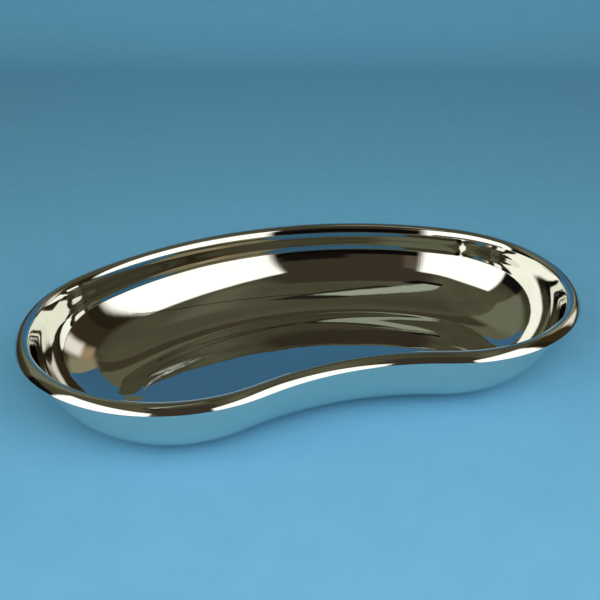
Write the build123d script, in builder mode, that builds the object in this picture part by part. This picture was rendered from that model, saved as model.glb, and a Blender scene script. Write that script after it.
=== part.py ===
from build123d import *
import os
from collections import namedtuple
from math import atan2, cos, degrees, radians, sin, sqrt

# A kidney dish pressed from one piece of stainless-steel sheet: a flat kidney-shaped floor, a wall
# that rises from it through a broad radius, and a rounded rim that turns out and down to a free edge.
# X runs along the dish, the concave waist faces -Y, and Z = 0 is the surface that it rests on.
# The sheet has the same section all the way round, so the wall and rim are that section turned about
# the centre of each arc of the outline.

# ---- driving dimensions (mm and degrees) -------------------------------------------------------
LENGTH = 250.0  # over the rim, end to end
HEIGHT = 38.5  # resting surface to the top of the rim
SHEET = 0.7  # thickness of the sheet

END_RADIUS = 66.5  # free edge of the rim round each end
BACK_RADIUS = 172.0  # free edge along the convex back
WAIST_RADIUS = 113.0  # free edge along the concave waist

# Upper face of the sheet, from the wall to the free edge. Slopes rise towards the outside of the
# dish; the lip's are negative because it falls.
WALL_SLOPE = 83.5  # steepest slope, at the top of the hollow curve that rises from the floor
FLARE_RADIUS = 42.0  # above it the wall flares outwards
FLARE_SLOPE = 75.0  # where the flare becomes the crest
CREST_RADIUS = 2.6  # top of the rim
LIP_SLOPE = -38.0  # where the crest becomes the lip
LIP_RADIUS = 9.5  # gentle crown of the lip
EDGE_SLOPE = -57.0  # lip at its free edge


# ---- plan: four tangent arcs --------------------------------------------------------------------
# side is the direction of the dish's inside from the free edge: -1 towards the arc's centre, +1 away.
RimArc = namedtuple("RimArc", "centre radius start sweep side")

end_x = LENGTH / 2 - END_RADIUS
back_drop = sqrt((BACK_RADIUS - END_RADIUS) ** 2 - end_x**2)
waist_drop = sqrt((WAIST_RADIUS + END_RADIUS) ** 2 - end_x**2)
end_y = -(BACK_RADIUS - back_drop - END_RADIUS) / 2  # puts the outline's middle on Y = 0
back_angle = degrees(atan2(back_drop, end_x))
waist_angle = degrees(atan2(waist_drop, end_x))
end_sweep = back_angle + 180 - waist_angle

rim_arcs = (
    RimArc((end_x, end_y), END_RADIUS, waist_angle - 180, end_sweep, -1),
    RimArc((0, end_y - back_drop), BACK_RADIUS, back_angle, 180 - 2 * back_angle, -1),
    RimArc((-end_x, end_y), END_RADIUS, 180 - back_angle, end_sweep, -1),
    RimArc((0, end_y - waist_drop), WAIST_RADIUS, waist_angle, 180 - 2 * waist_angle, 1),
)

# ---- section: a chain of tangent arcs, from the free edge to the floor ---------------------------
# Points are (inset from the free edge, height). A radius is negative where the face is hollow.
SectionArc = namedtuple("SectionArc", "centre radius start end")


def normal(slope):
    """Direction out of the upper face where it has this slope."""
    return sin(radians(slope)), cos(radians(slope))


def on_arc(arc, slope, depth):
    """Point of the sheet at a depth below the upper face, where the face has this slope."""
    out = normal(slope)
    reach = arc.radius - depth
    return arc.centre[0] + reach * out[0], arc.centre[1] + reach * out[1]


def next_arc(arc, radius, end):
    """Arc that carries on from the end of another, tangent to it."""
    out = normal(arc.end)
    shift = arc.radius - radius
    centre = (arc.centre[0] + shift * out[0], arc.centre[1] + shift * out[1])
    return SectionArc(centre, radius, arc.end, end)


# The free edge is a half round whose tip reaches inset 0, and the crest's top stands at HEIGHT.
edge_inset = SHEET / 2 * (1 + sin(radians(EDGE_SLOPE)))
lip_inset = edge_inset - LIP_RADIUS * sin(radians(EDGE_SLOPE))
lip_z = HEIGHT - CREST_RADIUS - (LIP_RADIUS - CREST_RADIUS) * cos(radians(LIP_SLOPE))
lip = SectionArc((lip_inset, lip_z), LIP_RADIUS, EDGE_SLOPE, LIP_SLOPE)
crest = next_arc(lip, CREST_RADIUS, FLARE_SLOPE)
flare = next_arc(crest, FLARE_RADIUS, WALL_SLOPE)

# The hollow's radius is the one that brings it down to the floor.
flare_foot_z = on_arc(flare, WALL_SLOPE, 0)[1]
hollow_radius = (flare_foot_z - SHEET) / (1 - cos(radians(WALL_SLOPE)))
hollow = next_arc(flare, -hollow_radius, 0)
floor_inset = hollow.centre[0]
section = (lip, crest, flare, hollow)


def draw_section(rim):
    """Closed outline of the sheet, drawn in a plane through the rim arc's axis."""

    def place(point):
        return rim.radius + rim.side * point[0], point[1]

    for depth in (0, SHEET):
        for arc in section:
            slopes = (arc.start, (arc.start + arc.end) / 2, arc.end)
            ThreePointArc(*[place(on_arc(arc, slope, depth)) for slope in slopes])

    upper, middle, lower = (on_arc(lip, EDGE_SLOPE, depth) for depth in (0, SHEET / 2, SHEET))
    out = normal(EDGE_SLOPE)
    tip = (middle[0] - SHEET / 2 * out[1], middle[1] + SHEET / 2 * out[0])
    ThreePointArc(place(upper), place(tip), place(lower))
    Line(place((floor_inset, 0)), place((floor_inset, SHEET)))


def section_plane(arc):
    """Upright plane through the arc's axis and its start: local X is outwards from the axis."""
    turn = radians(arc.start)
    return Plane(
        origin=(*arc.centre, 0),
        x_dir=(cos(turn), sin(turn), 0),
        z_dir=(sin(turn), -cos(turn), 0),
    )


os.makedirs("parts", exist_ok=True)

with BuildPart() as dish:
    # flat floor
    with BuildSketch(Plane.XY):
        with BuildLine():
            for arc in rim_arcs:
                CenterArc(arc.centre, arc.radius + arc.side * floor_inset, arc.start, arc.sweep)
        make_face()
    extrude(amount=SHEET)
    # floor radius, wall and rim
    for arc in rim_arcs:
        with BuildSketch(section_plane(arc)):
            with BuildLine():
                draw_section(arc)
            make_face()
        revolve(axis=Axis((*arc.centre, 0), (0, 0, 1)), revolution_arc=arc.sweep)
dish.part.label = "dish"
export_step(dish.part, "parts/dish.step")
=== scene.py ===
from math import atan2, cos, pi, radians, sin, sqrt, tan

import bpy
import numpy as np
from mathutils import Matrix, Vector


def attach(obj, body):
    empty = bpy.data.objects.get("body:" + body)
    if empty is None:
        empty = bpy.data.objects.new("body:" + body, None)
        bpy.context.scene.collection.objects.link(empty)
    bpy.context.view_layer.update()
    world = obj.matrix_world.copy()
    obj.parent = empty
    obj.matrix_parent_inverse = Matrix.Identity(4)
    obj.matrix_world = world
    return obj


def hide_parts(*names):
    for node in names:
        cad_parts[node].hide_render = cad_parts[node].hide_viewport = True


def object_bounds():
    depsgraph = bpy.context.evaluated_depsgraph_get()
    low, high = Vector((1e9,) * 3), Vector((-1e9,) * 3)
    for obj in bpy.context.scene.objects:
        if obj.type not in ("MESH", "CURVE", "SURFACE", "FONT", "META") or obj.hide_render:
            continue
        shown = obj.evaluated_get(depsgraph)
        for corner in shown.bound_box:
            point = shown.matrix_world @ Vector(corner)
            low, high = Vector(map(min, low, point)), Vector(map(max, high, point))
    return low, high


# The kidney dish is one pressed sheet, so the visual model is one mesh that replaces the CAD node.
# It has the CAD's plan and section, with the curvature eased where the CAD's arcs meet, because a
# polished surface shows every jump of curvature as a kink in its reflections.
# Metres throughout. X runs along the dish, the waist faces -Y, and Z = 0 is the resting surface.

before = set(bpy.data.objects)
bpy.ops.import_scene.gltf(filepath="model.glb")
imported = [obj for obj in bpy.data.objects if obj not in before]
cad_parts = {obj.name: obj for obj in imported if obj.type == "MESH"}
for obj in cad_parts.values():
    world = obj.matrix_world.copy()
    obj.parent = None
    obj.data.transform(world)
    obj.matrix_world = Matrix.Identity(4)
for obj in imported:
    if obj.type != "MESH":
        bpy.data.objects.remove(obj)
cad_low, cad_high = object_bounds()

MM = 0.001
DEG = pi / 180

# ---- dish: the CAD's driving dimensions ------------------------------------------------------
CLEARANCE = 0.01 * MM  # keeps the mesh inside the CAD's box
LENGTH = cad_high.x - cad_low.x - 2 * CLEARANCE
WIDTH = cad_high.y - cad_low.y - 2 * CLEARANCE
HEIGHT = cad_high.z - cad_low.z - CLEARANCE
SHEET = 0.7 * MM
END_RADIUS = 66.5 * MM
BACK_RADIUS = 172.0 * MM
WAIST_RADIUS = 113.0 * MM
WALL_SLOPE = 83.5 * DEG
FLARE_RADIUS = 42.0 * MM
FLARE_SLOPE = 75.0 * DEG
CREST_RADIUS = 2.6 * MM
LIP_SLOPE = 38.0 * DEG
LIP_RADIUS = 9.5 * MM
EDGE_SLOPE = 57.0 * DEG

# ---- dish: mesh --------------------------------------------------------------------------------
PLAN_EASE = 10 * MM  # half width over which the plan's curvature is eased
FLOOR_EASE = 8 * MM  # widths over which the section's curvature is eased
WALL_EASE = 5 * MM
CREST_EASE = 1.2 * MM
LIP_EASE = 1.0 * MM
QUARTER_STATIONS = 96  # stations along each quarter of the plan
SECTION_STEP = 1.5 * MM  # longest step along the section
SECTION_TURN = 4 * DEG  # sharpest turn between two points of the section
EDGE_STEPS = 8  # round the free edge
FLOOR_STEPS = 12  # across the flat floor
PLAN_SAMPLES = 20000  # fine steps along the whole plan, before the stations are chosen
RUN_STEP = 0.01 * MM  # fine step along the section, before its points are chosen


def eased_step(x, at, width):
    """0 before a place and 1 after it, turning smoothly over a width."""
    t = np.clip((x - at) / width + 0.5, 0, 1)
    return t**3 * (t * (6 * t - 15) + 10)


def integrate(values, step):
    """Running integral of samples that lie a step apart, starting at 0."""
    return np.concatenate(([0.0], np.cumsum((values[1:] + values[:-1]) / 2 * step)))


def plan_stations():
    """Points of the rim's free edge and its outward directions, anticlockwise from the waist's middle."""
    end_x = LENGTH / 2 - END_RADIUS
    back_drop = sqrt((BACK_RADIUS - END_RADIUS) ** 2 - end_x**2)
    waist_drop = sqrt((WAIST_RADIUS + END_RADIUS) ** 2 - end_x**2)
    back_angle = atan2(back_drop, end_x)
    waist_angle = atan2(waist_drop, end_x)
    arcs = [
        (WAIST_RADIUS * (pi / 2 - waist_angle), -1 / WAIST_RADIUS),
        (END_RADIUS * (back_angle + pi - waist_angle), 1 / END_RADIUS),
        (BACK_RADIUS * (pi / 2 - back_angle), 1 / BACK_RADIUS),
    ]
    arcs += arcs[::-1]
    perimeter = sum(length for length, _ in arcs)
    step = perimeter / PLAN_SAMPLES
    places = (np.arange(PLAN_SAMPLES) + 0.5) * step
    curvature = np.zeros(PLAN_SAMPLES)
    start = 0.0
    for length, value in arcs:
        curvature[(places >= start) & (places < start + length)] = value
        start += length
    reach = int(PLAN_EASE / step)
    kernel = 1 + np.cos(np.linspace(-pi, pi, 2 * reach + 1))
    wrapped = np.concatenate((curvature[-reach:], curvature, curvature[:reach]))
    curvature = np.convolve(wrapped, kernel / kernel.sum(), "valid")

    heading = np.concatenate(([0.0], np.cumsum(curvature * step)))
    middle = (heading[1:] + heading[:-1]) / 2
    x = np.concatenate(([0.0], np.cumsum(np.cos(middle) * step)))
    y = np.concatenate(([0.0], np.cumsum(np.sin(middle) * step)))
    closing = np.linspace(0, 1, PLAN_SAMPLES + 1)
    x -= x[-1] * closing
    y -= y[-1] * closing
    stretch_x = LENGTH / (x.max() - x.min())
    stretch_y = WIDTH / (y.max() - y.min())
    x *= stretch_x
    y = (y - (y.max() + y.min()) / 2) * stretch_y

    along = np.linspace(0, perimeter, PLAN_SAMPLES + 1)
    quarter = np.interp(pi / 2, heading, along)  # the right-hand tip
    share = np.arange(QUARTER_STATIONS) / QUARTER_STATIONS
    front, back = quarter * share, quarter + (perimeter / 2 - quarter) * share
    half = np.concatenate((front, back, [perimeter / 2]))
    stations = np.concatenate((half, perimeter - half[-2:0:-1]))
    turned = np.interp(stations, along, heading)
    outward = np.stack((np.sin(turned) / stretch_x, -np.cos(turned) / stretch_y), axis=1)
    outward /= np.linalg.norm(outward, axis=1)[:, None]
    points = np.stack((np.interp(stations, along, x), np.interp(stations, along, y)), axis=1)
    return points, outward


def inside_section():
    """Inset, height, slope and distance from the floor, along the sheet's inside face to its edge."""
    edge_inset = SHEET / 2 * (1 - sin(EDGE_SLOPE))
    above_bowl = CREST_RADIUS * (1 - cos(FLARE_SLOPE))
    above_bowl += FLARE_RADIUS * (cos(FLARE_SLOPE) - cos(WALL_SLOPE))
    bowl_radius = (HEIGHT - SHEET - above_bowl) / (1 - cos(WALL_SLOPE))
    bends = [
        (bowl_radius, WALL_SLOPE, FLOOR_EASE),
        (-FLARE_RADIUS, WALL_SLOPE - FLARE_SLOPE, WALL_EASE),
        (-CREST_RADIUS, FLARE_SLOPE + LIP_SLOPE, CREST_EASE),
        (-LIP_RADIUS, EDGE_SLOPE - LIP_SLOPE, LIP_EASE),
    ]
    section_end = sum(abs(radius) * turn for radius, turn, _ in bends)
    run = np.arange(-FLOOR_EASE, section_end, RUN_STEP)
    curvature = np.zeros(len(run))
    start, before = 0.0, 0.0
    for radius, turn, ease in bends:
        curvature += (1 / radius - before) * eased_step(run, start, ease)
        start, before = start + abs(radius) * turn, 1 / radius
    slope = integrate(curvature, RUN_STEP)
    outward = integrate(np.cos(slope), RUN_STEP)
    height = integrate(np.sin(slope), RUN_STEP)
    inset = outward[-1] - outward + edge_inset
    height = SHEET + height * (HEIGHT - SHEET) / height.max()

    kept = [0]
    for i in range(1, len(run)):
        far = run[i] - run[kept[-1]] >= SECTION_STEP
        turned = abs(slope[i] - slope[kept[-1]]) >= SECTION_TURN
        if far or turned:
            kept.append(i)
    kept.append(len(run) - 1)
    return inset[kept], height[kept], slope[kept], run[kept]


def section_loop():
    """The whole section: inside face, round edge, outside face back to the floor.

    Rows of inset, height, normal along the inset, normal along Z, and distance from the floor.
    """
    inset, height, slope, run = inside_section()
    up_in, up_z = np.sin(slope), np.cos(slope)
    rows = [tuple(row) for row in zip(inset, height, up_in, up_z, run)]
    middle_in = inset[-1] - up_in[-1] * SHEET / 2
    middle_z = height[-1] - up_z[-1] * SHEET / 2
    for i in range(1, EDGE_STEPS):
        turn = pi * i / EDGE_STEPS
        normal_in = up_in[-1] * cos(turn) - up_z[-1] * sin(turn)
        normal_z = up_z[-1] * cos(turn) + up_in[-1] * sin(turn)
        place = (middle_in + normal_in * SHEET / 2, middle_z + normal_z * SHEET / 2)
        rows.append((*place, normal_in, normal_z, run[-1]))
    outside_in, outside_z = inset - up_in * SHEET, height - up_z * SHEET
    rows += [tuple(row) for row in zip(outside_in, outside_z, -up_in, -up_z, run)][::-1]
    return np.array(rows), len(inset)


def dish_mesh():
    """The dish as quads, with exact normals and the coordinates that its material uses."""
    points, outward = plan_stations()
    loop, inside_count = section_loop()
    stations, rows = len(points), len(loop)

    vertices = np.zeros((stations, rows, 3))
    normals = np.zeros((stations, rows, 3))
    grain = np.zeros((stations, rows, 3))
    vertices[:, :, :2] = points[:, None, :] - outward[:, None, :] * loop[None, :, :1]
    vertices[:, :, 2] = loop[:, 1]
    normals[:, :, :2] = -outward[:, None, :] * loop[None, :, 2:3]
    normals[:, :, 2] = loop[:, 3]
    grain[:, :, :2] = points[:, None, :]
    grain[:, :, 2] = loop[:, 4]
    outside = np.zeros((stations, rows))
    outside[:, inside_count:] = 1
    vertices, normals = vertices.reshape(-1, 3), normals.reshape(-1, 3)
    grain, outside = grain.reshape(-1, 3), outside.reshape(-1)

    faces = []
    for i in range(stations):
        here, there = i * rows, (i + 1) % stations * rows
        for j in range(rows - 1):
            faces.append((here + j, here + j + 1, there + j + 1, there + j))

    tip = stations // 4
    for row, up in ((0, 1), (rows - 1, -1)):
        front = [(stations - tip + k) % stations * rows + row for k in range(2 * tip + 1)]
        back = [(stations - tip - k) * rows + row for k in range(2 * tip + 1)]
        lines = [[front[0]]]
        extra, base = [], len(vertices)
        for k in range(1, 2 * tip):
            line = [front[k]]
            for step in range(1, FLOOR_STEPS):
                share = step / FLOOR_STEPS
                extra.append(vertices[front[k]] * (1 - share) + vertices[back[k]] * share)
                line.append(base + len(extra) - 1)
            lines.append(line + [back[k]])
        lines.append([front[-1]])
        vertices = np.concatenate((vertices, extra))
        normals = np.concatenate((normals, [(0, 0, up)] * len(extra)))
        grain = np.concatenate((grain, [(*p[:2], -FLOOR_EASE) for p in extra]))
        outside = np.concatenate((outside, [float(up < 0)] * len(extra)))
        for low, high in zip(lines, lines[1:]):
            for k in range(FLOOR_STEPS):
                face = [low[min(k, len(low) - 1)], high[min(k, len(high) - 1)]]
                face += [high[min(k + 1, len(high) - 1)], low[min(k + 1, len(low) - 1)]]
                face = list(dict.fromkeys(face))
                faces.append(tuple(face if up > 0 else face[::-1]))
    return vertices, normals, grain, outside, faces


def make_dish():
    """The dish object, smooth shaded, riding on the root body in place of the CAD node."""
    vertices, normals, grain, outside, faces = dish_mesh()
    mesh = bpy.data.meshes.new("kidney_dish")
    mesh.from_pydata(vertices.tolist(), [], faces)
    mesh.validate()
    mesh.shade_smooth()
    mesh.normals_split_custom_set_from_vertices(normals.tolist())
    mesh.attributes.new("grain", "FLOAT_VECTOR", "POINT").data.foreach_set("vector", grain.ravel())
    mesh.attributes.new("outside", "FLOAT", "POINT").data.foreach_set("value", outside)
    dish = bpy.data.objects.new("kidney_dish", mesh)
    bpy.context.scene.collection.objects.link(dish)
    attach(dish, "root")
    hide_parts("dish")
    return dish


# ---- materials -----------------------------------------------------------------------------------
BRIGHT_STEEL = (0.80, 0.80, 0.75, 1)
HAZED_STEEL = (0.745, 0.745, 0.695, 1)
OUTER_STEEL = (0.70, 0.69, 0.64, 1)  # the outer face is satin, not mirror bright
INSIDE_ROUGHNESS = 0.022
OUTSIDE_ROUGHNESS = 0.055  # added to it on the outer face
HAZE_ROUGHNESS = 0.030
HAIR_ROUGHNESS = 0.045
WAVE_DEPTH = 0.00006  # bump depths, metres
STREAK_DEPTH = 0.000003
HAIR_DEPTH = -0.0000012


class Nodes:
    """Short calls that add and join the nodes of one material or world."""

    def __init__(self, owner):
        owner.use_nodes = True
        self.tree = owner.node_tree
        self.tree.nodes.clear()

    def add(self, kind, inputs=(), **settings):
        node = self.tree.nodes.new("ShaderNode" + kind)
        for name, value in settings.items():
            setattr(node, name, value)
        for name, value in dict(inputs).items():
            if isinstance(value, bpy.types.NodeSocket):
                self.tree.links.new(value, node.inputs[name])
            else:
                node.inputs[name].default_value = value
        return node

    def math(self, operation, first, second=0.0):
        return self.add("Math", {0: first, 1: second}, operation=operation).outputs[0]

    def scaled(self, vector, scale):
        node = self.add("VectorMath", {0: vector, 1: scale}, operation="MULTIPLY")
        return node.outputs[0]

    def noise(self, vector, scale, detail=3.0, roughness=0.5):
        inputs = {"Vector": vector, "Scale": scale, "Detail": detail, "Roughness": roughness}
        return self.add("TexNoise", inputs).outputs["Fac"]

    def remap(self, value, low, high, to_low, to_high):
        inputs = {"Value": value, "From Min": low, "From Max": high}
        inputs |= {"To Min": to_low, "To Max": to_high}
        return self.add("MapRange", inputs).outputs[0]

    def mix_colour(self, share, first, second):
        node = self.add("Mix", {0: share}, data_type="RGBA")
        for socket, value in ((node.inputs[6], first), (node.inputs[7], second)):
            if isinstance(value, bpy.types.NodeSocket):
                self.tree.links.new(value, socket)
            else:
                socket.default_value = value
        return node.outputs[2]


def polished_steel():
    """Mirror-polished sheet: polishing haze, wiping marks, drawing streaks and hairline scratches."""
    material = bpy.data.materials.new("polished_steel")
    n = Nodes(material)
    grain = n.add("Attribute", attribute_name="grain").outputs["Vector"]
    outside = n.add("Attribute", attribute_name="outside").outputs["Fac"]
    place = n.add("TexCoord").outputs["Object"]
    run = n.add("SeparateXYZ", {0: grain}).outputs["Z"]
    on_wall = n.remap(run, 0.004, 0.022, 0.0, 1.0)

    # large soft haze left by the polishing mop and by handling
    haze = n.noise(place, 26.0, 4.0, 0.6)
    cloud = n.noise(place, 9.0, 2.0, 0.5)
    haze = n.remap(n.math("MULTIPLY", haze, cloud), 0.20, 0.42, 0.0, 1.0)
    # fine hairlines, long one way and short the other
    lines = n.noise(n.scaled(place, (60.0, 2600.0, 60.0)), 1.0, 2.0, 0.6)
    cross = n.noise(n.scaled(place, (2100.0, 90.0, 90.0)), 1.0, 2.0, 0.6)
    hair = n.math("MAXIMUM", n.remap(lines, 0.66, 0.80, 0.0, 1.0), n.remap(cross, 0.68, 0.80, 0.0, 1.0))
    # marks drawn up the wall by the press, wide apart along it and long up it
    streaks = n.noise(n.scaled(grain, (1500.0, 1500.0, 28.0)), 1.0, 3.0, 0.6)
    waves = n.noise(n.scaled(grain, (60.0, 60.0, 22.0)), 1.0, 2.0, 0.4)

    base = n.math("MULTIPLY_ADD", outside, OUTSIDE_ROUGHNESS)
    base.node.inputs[2].default_value = INSIDE_ROUGHNESS
    rough = n.math("ADD", base, n.math("MULTIPLY", haze, HAZE_ROUGHNESS))
    rough = n.math("ADD", rough, n.math("MULTIPLY", hair, HAIR_ROUGHNESS))
    tint = n.mix_colour(haze, BRIGHT_STEEL, HAZED_STEEL)
    tint = n.mix_colour(outside, tint, OUTER_STEEL)

    wavy = n.add("Bump", {"Height": waves, "Strength": 1.0, "Distance": WAVE_DEPTH}).outputs[0]
    streaky = n.math("MULTIPLY", streaks, on_wall)
    drawn = n.add("Bump", {"Height": streaky, "Strength": 1.0, "Distance": STREAK_DEPTH, "Normal": wavy})
    scratched = n.add(
        "Bump", {"Height": hair, "Strength": 0.5, "Distance": HAIR_DEPTH, "Normal": drawn.outputs[0]}
    )
    steel = n.add(
        "BsdfPrincipled",
        {"Metallic": 1.0, "Base Color": tint, "Roughness": rough, "Normal": scratched.outputs[0]},
    )
    n.add("OutputMaterial", {"Surface": steel.outputs[0]})
    return material


PALE_BLUE = (0.158, 0.45, 0.70, 1)
PALE_BLUE_SHADE = (0.145, 0.425, 0.67, 1)
PAINTED_SHADE_BLUE = (0.085, 0.25, 0.46, 1)  # painted shade: the backdrop is painted deeper as it rises, standing in for the lower light on the upright paper
PAINTED_SHADE_HEIGHTS = (0.02, 0.45)  # heights between which the painted shade comes in
PAPER_ROUGHNESS = (0.75, 0.95)
FIBRE_DEPTH = 0.0001


def paper(name, colour, shade):
    """Matt paper with a faint mottle and fibres, with painted shade making it deeper in colour where it
    rises off the floor.
    """
    material = bpy.data.materials.new(name)
    n = Nodes(material)
    place = n.add("TexCoord").outputs["Object"]
    mottle = n.noise(place, 55.0, 6.0, 0.65)
    fibre = n.noise(place, 900.0, 2.0, 0.5)
    tint = n.mix_colour(n.remap(mottle, 0.3, 0.7, 0.0, 1.0), colour, shade)
    height = n.add("SeparateXYZ", {0: place}).outputs["Z"]
    # painted shade: the paper turns deeper blue as it rises, in place of the lower light that the upright
    # part gets
    tint = n.mix_colour(n.remap(height, *PAINTED_SHADE_HEIGHTS, 0.0, 1.0), tint, PAINTED_SHADE_BLUE)
    rough = n.remap(fibre, 0.0, 1.0, *PAPER_ROUGHNESS)
    bump = n.add("Bump", {"Height": fibre, "Strength": 0.4, "Distance": FIBRE_DEPTH})
    sheet = n.add("BsdfPrincipled", {"Base Color": tint, "Roughness": rough, "Normal": bump.outputs[0]})
    sheet.inputs["Specular IOR Level"].default_value = 0.2
    n.add("OutputMaterial", {"Surface": sheet.outputs[0]})
    return material


# ---- studio --------------------------------------------------------------------------------------
def direction(bearing, elevation):
    """Unit vector: bearing 0 is +Y, 90 is +X, in degrees."""
    b, e = radians(bearing), radians(elevation)
    return Vector((sin(b) * cos(e), cos(b) * cos(e), sin(e)))


def stage_mesh(name, vertices, faces, material):
    """Object that is part of the studio and not of the dish."""
    mesh = bpy.data.meshes.new(name)
    mesh.from_pydata(vertices, [], faces)
    mesh.materials.append(material)
    thing = bpy.data.objects.new(name, mesh)
    bpy.context.scene.collection.objects.link(thing)
    return thing


FLOOR_REACH = 2.6  # half the floor's width
SWEEP_BEARING = 18.0  # the backdrop stands square to the camera, behind the dish
SWEEP_START = 0.20  # distances from the origin, along its bearing
SWEEP_BEND_START = 0.62
SWEEP_BEND = 0.34  # radius
SWEEP_BEND_STEPS = 24
SWEEP_FLAT_END = 0.57  # a flat stretch ends a little short of the bend, which keeps its shading smooth
SWEEP_HALF_WIDTH = 0.53
SWEEP_HEIGHTS = (0.62, 1.05)  # its top slopes, lower on the left
PAPER_LAP = 0.00002  # the backdrop's foot lies this far above the floor


def make_floor(material):
    """Flat square of paper under everything."""
    corners = [(-1, -1, 0), (1, -1, 0), (1, 1, 0), (-1, 1, 0)]
    vertices = [tuple(FLOOR_REACH * c for c in corner) for corner in corners]
    stage_mesh("floor", vertices, [(0, 1, 2, 3)], material)


def make_sweep(material):
    """Paper that lies on the floor behind the dish, bends and rises."""
    profile = [(SWEEP_START, PAPER_LAP), (SWEEP_FLAT_END, PAPER_LAP)]
    for i in range(SWEEP_BEND_STEPS + 1):
        turn = pi / 2 * i / SWEEP_BEND_STEPS
        away = SWEEP_BEND_START + SWEEP_BEND * sin(turn)
        profile.append((away, PAPER_LAP + SWEEP_BEND * (1 - cos(turn))))
    out, side = wall_axes(SWEEP_BEARING)
    vertices, faces = [], []
    for away, height in profile:
        for half in (-SWEEP_HALF_WIDTH, SWEEP_HALF_WIDTH):
            vertices.append(tuple(out * away + side * half + Vector((0, 0, height))))
    for half, height in zip((-SWEEP_HALF_WIDTH, SWEEP_HALF_WIDTH), SWEEP_HEIGHTS):
        vertices.append(tuple(out * profile[-1][0] + side * half + Vector((0, 0, height))))
    for i in range(len(profile)):
        faces.append((2 * i, 2 * i + 1, 2 * i + 3, 2 * i + 2))
    sweep = stage_mesh("sweep", vertices, faces, material)
    sweep.data.shade_smooth()


def wall_axes(bearing):
    """Outward and sideways directions of a wall that faces the dish from a bearing."""
    out = direction(bearing, 0)
    return out, Vector((out.y, -out.x, 0))


def soft_light(name, bearing, elevation, distance, size, watts, colour):
    """A square light that lights the paper and stays out of the reflections."""
    data = bpy.data.lights.new(name, "AREA")
    data.size = size
    data.energy = watts
    data.color = colour
    light = bpy.data.objects.new(name, data)
    light.location = direction(bearing, elevation) * distance
    light.rotation_mode = "QUATERNION"
    light.rotation_quaternion = (-direction(bearing, elevation)).to_track_quat("-Z", "Y")
    light.visible_camera = False
    light.visible_glossy = False
    bpy.context.scene.collection.objects.link(light)


# The room round the studio, as the dish sees it. Walls: the bearing that the wall faces the dish
# from, the patch's left and right bearings, its low and high elevations at the wall's own bearing,
# how soft its edges are, and its colour.
WALL_PATCHES = [
    (0, -55, 60, 30, 52, 0.20, (0.125, 0.122, 0.072)),  # lit wall over the backdrop
    (0, -5, 60, 51, 62, 0.14, (0.055, 0.047, 0.027)),  # darker above it
    (0, -60, -8, 28, 62, 0.26, (0.165, 0.175, 0.115)),  # paler wall on the left
    (190, 160, 218, -8, 62, 0.20, (0.046, 0.037, 0.025)),  # dim room between the windows
    (190, 165, 216, -8, 14, 0.06, (0.004, 0.003, 0.003)),  # dark furniture below it
    (180, 170, 190, 10, 21, 0.08, (0.008, 0.006, 0.004)),  # it stands higher at one side
    (210, 207, 212, 14, 36, 0.04, (0.110, 0.080, 0.058)),  # upright strip beside the left window
    (95, 60, 119, -8, 44, 0.20, (0.040, 0.030, 0.015)),  # dim corner on the right
    (112, 106, 119, -8, 40, 0.10, (0.022, 0.017, 0.008)),  # darker beside the window
    (55, 45, 66, 16, 42, 0.18, (0.290, 0.260, 0.160)),  # lit wall beside the backdrop
    (75, 64, 80, 26, 40, 0.16, (0.380, 0.280, 0.170)),  # warm light in the corner
    (75, 68, 82, 6, 28, 0.14, (0.950, 0.900, 0.820)),  # bright patch below it
    (290, 279, 302, -8, 20, 0.08, (0.006, 0.006, 0.005)),  # dark corner on the left
    (130, 118, 168, -6, 46, 0.10, (1.450, 1.450, 1.350)),  # the windows
    (245, 212, 278, -6, 45, 0.10, (1.450, 1.450, 1.350)),
    (245, 214, 270, -8, 4, 0.02, (0.090, 0.085, 0.060)),  # sill of the left one
]
# Ceiling: two ends of a strip, in ceiling heights from overhead, its half width, softness, colour.
CEILING_STRIPS = [
    ((0.42, 0.0), (0.48, -0.72), 0.10, 0.16, (0.120, 0.120, 0.078)),
    ((1.25, -0.66), (0.16, -0.15), 0.008, 0.016, (0.010, 0.009, 0.005)),  # a beam
    ((0.20, 0.00), (-0.16, -0.29), 0.080, 0.03, (0.018, 0.016, 0.010)),
    ((-0.30, -0.40), (-0.42, -0.50), 0.09, 0.03, (0.004, 0.004, 0.003)),
    ((0.12, -0.05), (-0.36, -0.41), 0.055, 0.03, (0.360, 0.390, 0.310)),
]
BACKGROUND = (0.15, 0.33, 0.46, 1)  # what the camera sees past the floor
ROOM_SHADES = (  # the room behind the patches, by the sine of the elevation
    (0.00, (0.030, 0.027, 0.016, 1)),
    (0.35, (0.060, 0.053, 0.031, 1)),
    (0.80, (0.095, 0.088, 0.053, 1)),
    (1.00, (0.070, 0.066, 0.040, 1)),
)


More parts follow.
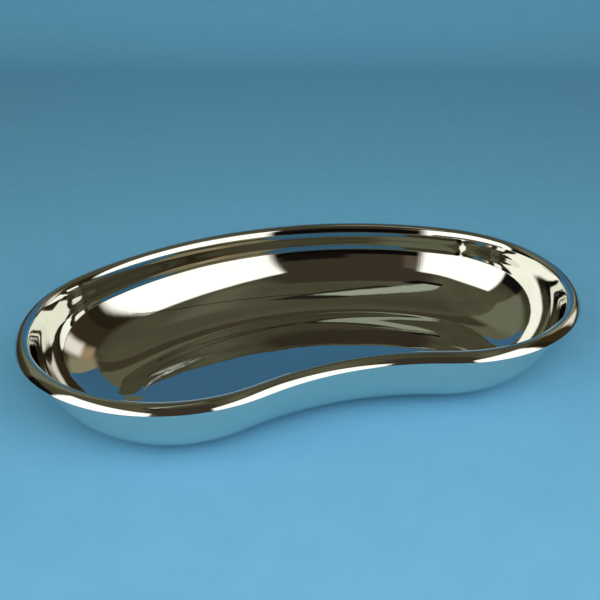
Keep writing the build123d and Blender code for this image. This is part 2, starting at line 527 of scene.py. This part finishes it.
def make_world():
    """The room as light from far away: plain shades, then the patches painted over them in order."""
    world = bpy.data.worlds.new("room")
    bpy.context.scene.world = world
    n = Nodes(world)
    way = n.add("TexCoord").outputs["Generated"]
    height = n.add("SeparateXYZ", {0: way}).outputs["Z"]
    ramp = n.add("ValToRGB", {0: height})
    stops = ramp.color_ramp.elements
    stops[0].color, stops[1].color = ROOM_SHADES[0][1], ROOM_SHADES[-1][1]
    for place, colour in ROOM_SHADES[1:-1]:
        stops.new(place).color = colour
    mottle = n.noise(way, 2.2, 3.0, 0.5)
    shade = n.remap(mottle, 0.3, 0.7, 0.75, 1.25)
    room = n.add("VectorMath", {0: ramp.outputs[0], 3: shade}, operation="SCALE").outputs[0]

    def reach(vector, axis):
        node = n.add("VectorMath", {0: vector, 1: tuple(axis)}, operation="DOT_PRODUCT")
        return node.outputs["Value"]

    def within(value, low, high, soft):
        """1 between two limits, falling to 0 softly outside them."""
        middle, half = (low + high) / 2, (high - low) / 2
        away = n.math("ABSOLUTE", n.math("SUBTRACT", value, middle))
        limits = {"From Min": half - soft / 2, "From Max": half + soft / 2}
        node = n.add("MapRange", {"Value": away, **limits})
        node.interpolation_type = "SMOOTHSTEP"
        node.inputs["To Min"].default_value = 1.0
        node.inputs["To Max"].default_value = 0.0
        return node.outputs[0]

    def paint(room, mask, front, colour):
        """The room with a colour painted where the mask is 1, and only on the patch's own side."""
        mask = n.math("MULTIPLY", mask, n.math("GREATER_THAN", front, 0.01))
        return n.mix_colour(mask, room, (*colour, 1))

    for facing, left, right, low, high, soft, colour in WALL_PATCHES:
        out, side = wall_axes(facing)
        front = reach(way, out)
        across = n.math("DIVIDE", reach(way, side), front)
        upward = n.math("DIVIDE", height, front)
        across = within(across, tan(radians(left - facing)), tan(radians(right - facing)), soft)
        upward = within(upward, tan(radians(low)), tan(radians(high)), soft)
        room = paint(room, n.math("MULTIPLY", across, upward), front, colour)
    for start, end, half, soft, colour in CEILING_STRIPS:
        start, end = Vector((*start, 0)), Vector((*end, 0))
        along = (end - start).normalized()
        side = Vector((along.y, -along.x, 0))
        plan = n.add("VectorMath", {0: way, 3: n.math("DIVIDE", 1.0, height)}, operation="SCALE")
        middle = start.dot(side)
        across = within(reach(plan.outputs[0], side), middle - half, middle + half, soft)
        length = within(reach(plan.outputs[0], along), start.dot(along), end.dot(along), soft)
        room = paint(room, n.math("MULTIPLY", across, length), height, colour)

    seen = n.add("LightPath").outputs["Is Camera Ray"]
    background = n.add("Background", {"Color": n.mix_colour(seen, room, BACKGROUND)})
    n.add("OutputWorld", {"Surface": background.outputs[0]})


# ---- camera ---------------------------------------------------------------------------------------
CAMERA_AZIMUTH = -17.5  # round from straight in front of the waist, towards the left lobe
CAMERA_ELEVATION = 28.1
CAMERA_ROLL = 0.2
CAMERA_DISTANCE = 0.3779
CAMERA_AIM_RIGHT = -0.0016  # the aim stands off the origin, across and up the view
CAMERA_AIM_UP = 0.0288
CAMERA_LENS = 48.0


def make_camera():
    """The scene's camera, at the angles and distance above."""
    a, e, roll = (radians(v) for v in (CAMERA_AZIMUTH, CAMERA_ELEVATION, CAMERA_ROLL))
    back = Vector((sin(a) * cos(e), -cos(a) * cos(e), sin(e)))
    level = Vector((cos(a), sin(a), 0))
    upright = back.cross(level)
    right = cos(roll) * level + sin(roll) * upright
    up = cos(roll) * upright - sin(roll) * level
    place = CAMERA_AIM_RIGHT * right + CAMERA_AIM_UP * up + CAMERA_DISTANCE * back
    data = bpy.data.cameras.new("camera")
    data.lens = CAMERA_LENS
    data.sensor_width = 36.0
    data.clip_start, data.clip_end = 0.01, 50
    camera = bpy.data.objects.new("camera", data)
    axes = Matrix((right, up, back)).transposed().to_4x4()
    camera.matrix_world = Matrix.Translation(place) @ axes
    bpy.context.scene.collection.objects.link(camera)
    bpy.context.scene.camera = camera


# ---- make everything ------------------------------------------------------------------------------
make_camera()
dish = make_dish()
dish.data.materials.append(polished_steel())

blue_paper = paper("pale_blue_paper", PALE_BLUE, PALE_BLUE_SHADE)
make_floor(blue_paper)
make_sweep(blue_paper)
make_world()

DAYLIGHT = (1.0, 0.98, 0.94)
# name, bearing, elevation, distance, size, watts, colour
soft_light("key", 172, 44, 0.62, 0.42, 1.75, DAYLIGHT)
soft_light("fill", 216, 44, 0.62, 0.42, 1.35, DAYLIGHT)
soft_light("overhead", 0, 88, 2.2, 2.4, 2.4, DAYLIGHT)

scene = bpy.context.scene
scene.view_settings.view_transform = "Standard"
scene.view_settings.look = "None"
scene.view_settings.exposure = 0.0
